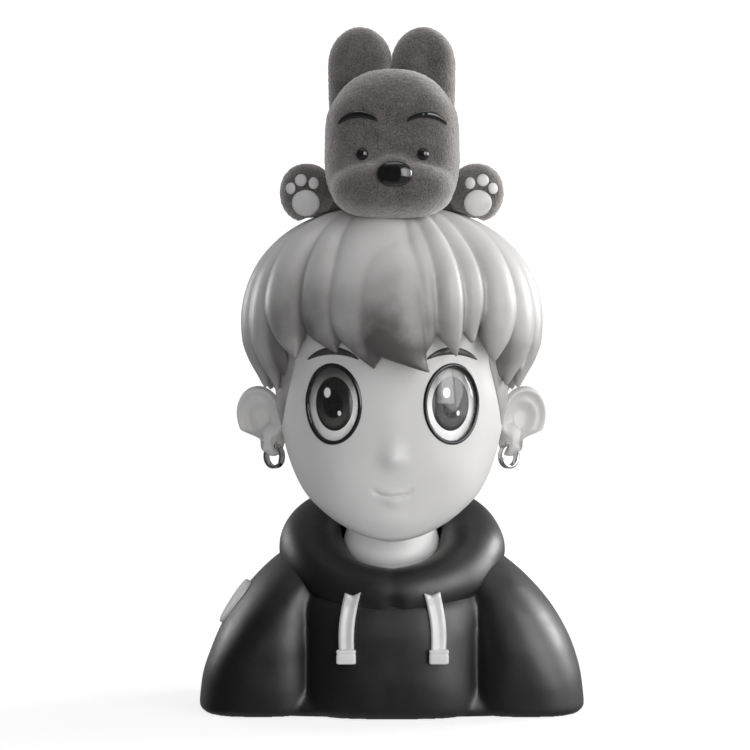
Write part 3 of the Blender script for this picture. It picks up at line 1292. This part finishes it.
skull_mesh = flock_piece("rider_skull", rider_skull(), "rider", "rider_head", voxel=0.6, passes=26)
skull_front = surface_finder(skull_mesh)
flock_piece("rider_torso", [rider_torso()], "rider", "rider_body")
flock_piece("rider_tail_puff", [ellipsoid((0, 37.0, 191.0), (5, 5, 5))], "rider", "rider_tail", voxel=0.4)
nose_mesh = build("rider_snout", ellipsoid((0.6, -46.3, 191.4), (6.3, 3.4, 4.6), 2.15, 36, 56))
finish_piece(nose_mesh, "rider", trim_dark, "rider_nose")
for label, side in SIDES:
    flock_piece(f"rider_lug_{label}", [rider_ear(side)], "rider", f"rider_ear_{label}", voxel=0.5)
    foot = ellipsoid((side * 13.5, 31, 183.5), (7, 9, 6.5))
    flock_piece(f"rider_paw_foot_{label}", [foot], "rider", f"rider_foot_{label}", voxel=0.45)
    spot = (side * BEAD_X, skull_front(side * BEAD_X, BEAD_Z, -41.0) + 0.7, BEAD_Z)
    bead = build(f"rider_bead_{label}", ellipsoid(spot, (BEAD_RADIUS,) * 3, 2.0, 28, 40))
    finish_piece(bead, "rider", trim_dark, f"rider_eye_{label}")
    arc = rider_brow(f"rider_arc_{label}", side, skull_front)
    finish_piece(arc, "rider", trim_dark, f"rider_brow_{label}")
    flock_piece(f"rider_limb_{label}", rider_arm(side), f"arm_{label}", f"rider_arm_{label}", voxel=0.5)
    finish_piece(pads(f"rider_pads_{label}", side), f"arm_{label}", pad_rubber, f"paw_pads_{label}")


# ---------------------------------------------------------------- inner pieces kept from the frame

KEPT = {
    "base_plate": inner, "neck_washer": inner, "rider_cup": inner, "rider_peg": inner, "neck_socket": skin,
    "base_pad": foam, "base_screws": steel, "neck_screw": steel,
}
for node, finish in KEPT.items():
    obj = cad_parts[node]
    obj.data.materials.clear()
    obj.data.materials.append(finish.material)


# ---------------------------------------------------------------- floor, backdrop, light and camera

WHITE = (1.0, 1.0, 1.0)


def room_paint(name, grey, near, far):
    """A pale matt surface with a little light of its own, more of it far away, and a faint mottle."""
    p = Paint(name)
    tone = p.mix(p.span(p.noise(60.0, 2.0), 0.3, 0.7), [grey * 0.985] * 3, [grey] * 3)
    p.set(Base_Color=tone, Roughness=0.9, Emission_Color=WHITE)
    p.set(Emission_Strength=p.span(p.painted("far"), 0, 1, near, far), Specular_IOR_Level=0.0)
    return p.material


def room():
    """A wide pale floor and a pale dome far behind it."""
    turn = circle(96)
    ring = np.column_stack([np.cos(turn), np.sin(turn), np.zeros(96)])
    disc = [ring * r - (0, 0, 0.02) for r in (10, 60, 110, 150, 200, 260, 340, 420, 600, 1000, 1990)]
    bow = np.linspace(0, np.pi / 2 - 0.02, 24)
    dome = [ring * 2000 * math.cos(a) + (0, 0, 2000 * math.sin(a) - 1) for a in bow]
    floor, backdrop = build("floor", rings_mesh(disc)), build("backdrop", rings_mesh(dome))
    floor.data.materials.append(room_paint("floor_paint", 0.34, 0.78, 1.0))
    backdrop.data.materials.append(room_paint("backdrop_paint", 0.3, 1.0, 1.0))
    for obj in (floor, backdrop):
        paint(obj, "far", smoothstep(np.hypot(*points_of(obj)[:, :2].T), 110, 420))
        obj.visible_diffuse = obj.visible_glossy = obj.visible_transmission = False
        obj.visible_shadow = False


def area_light(name, place, aim, size, power):
    data = bpy.data.lights.new(name, "AREA")
    data.shape, data.size, data.energy = "DISK", size, power
    lamp = bpy.data.objects.new(name, data)
    lamp.location = place
    lamp.rotation_mode = "QUATERNION"
    lamp.rotation_quaternion = (Vector(aim) - Vector(place)).to_track_quat("-Z", "Y")
    bpy.context.scene.collection.objects.link(lamp)
    return lamp


def card(name, start, end, low, high, glow):
    """An upright sheet beside the object that only shows in reflections."""
    (x0, y0), (x1, y1) = start, end
    sheet = build(name, ([(x0, y0, low), (x1, y1, low), (x1, y1, high), (x0, y0, high)], [(0, 1, 2, 3)]))
    p = Paint(name)
    p.set(Base_Color=(0, 0, 0), Roughness=1.0, Emission_Color=WHITE, Emission_Strength=glow)
    p.set(Specular_IOR_Level=0.0)
    sheet.data.materials.append(p.material)
    sheet.visible_camera = sheet.visible_diffuse = sheet.visible_shadow = False


room()
centre = (0.0, 0.0, 0.13)
# A light's numbers are its place and aim, its width in metres and its power.
area_light("key", (0.73, -0.58, 0.42), centre, 1.0, 4.7)
fill = area_light("fill", (0.0, -0.95, 0.04), (0, 0, 0.1), 0.6, 2.2)
fill.visible_glossy = False
area_light("rim_right", (0.62, 0.25, 0.3), (0, 0, 0.17), 0.35, 3.6)
area_light("rim_left", (-0.62, 0.5, 0.3), (0, 0, 0.17), 0.3, 1.3)
area_light("top", (0.0, 0.05, 0.95), centre, 0.6, 0.9)
# Sheets that only reflections see: dark ones in front and on the left, bright ones on the right.
# Each runs from one x and y to another between two heights, and ends with its glow.
card("front_card", (-2600, -1300), (460, -1300), -1400, 2400, 0.05)
card("left_card", (-1300, -1250), (-1300, 900), -1400, 2400, 0.06)
card("right_card", (1150, -700), (1150, 400), -100, 900, 1.2)
card("window_card", (460, -1150), (1000, -720), 20, 950, 3.0)

scene = bpy.context.scene
scene.world = bpy.data.worlds.new("studio")
scene.world.use_nodes = True
sky = scene.world.node_tree.nodes["Background"].inputs
sky["Color"].default_value = (0.95, 0.96, 1.0, 1)
sky["Strength"].default_value = 0.27
scene.view_settings.view_transform = "Standard"

camera = bpy.data.objects.new("camera", bpy.data.cameras.new("camera"))
camera.data.lens, camera.data.sensor_width, camera.data.clip_end = 90.3, 36.0, 10
camera.location = (-0.00614, -0.7, 0.1216)
camera.rotation_euler = (math.radians(90), 0, 0)
scene.collection.objects.link(camera)
scene.camera = camera
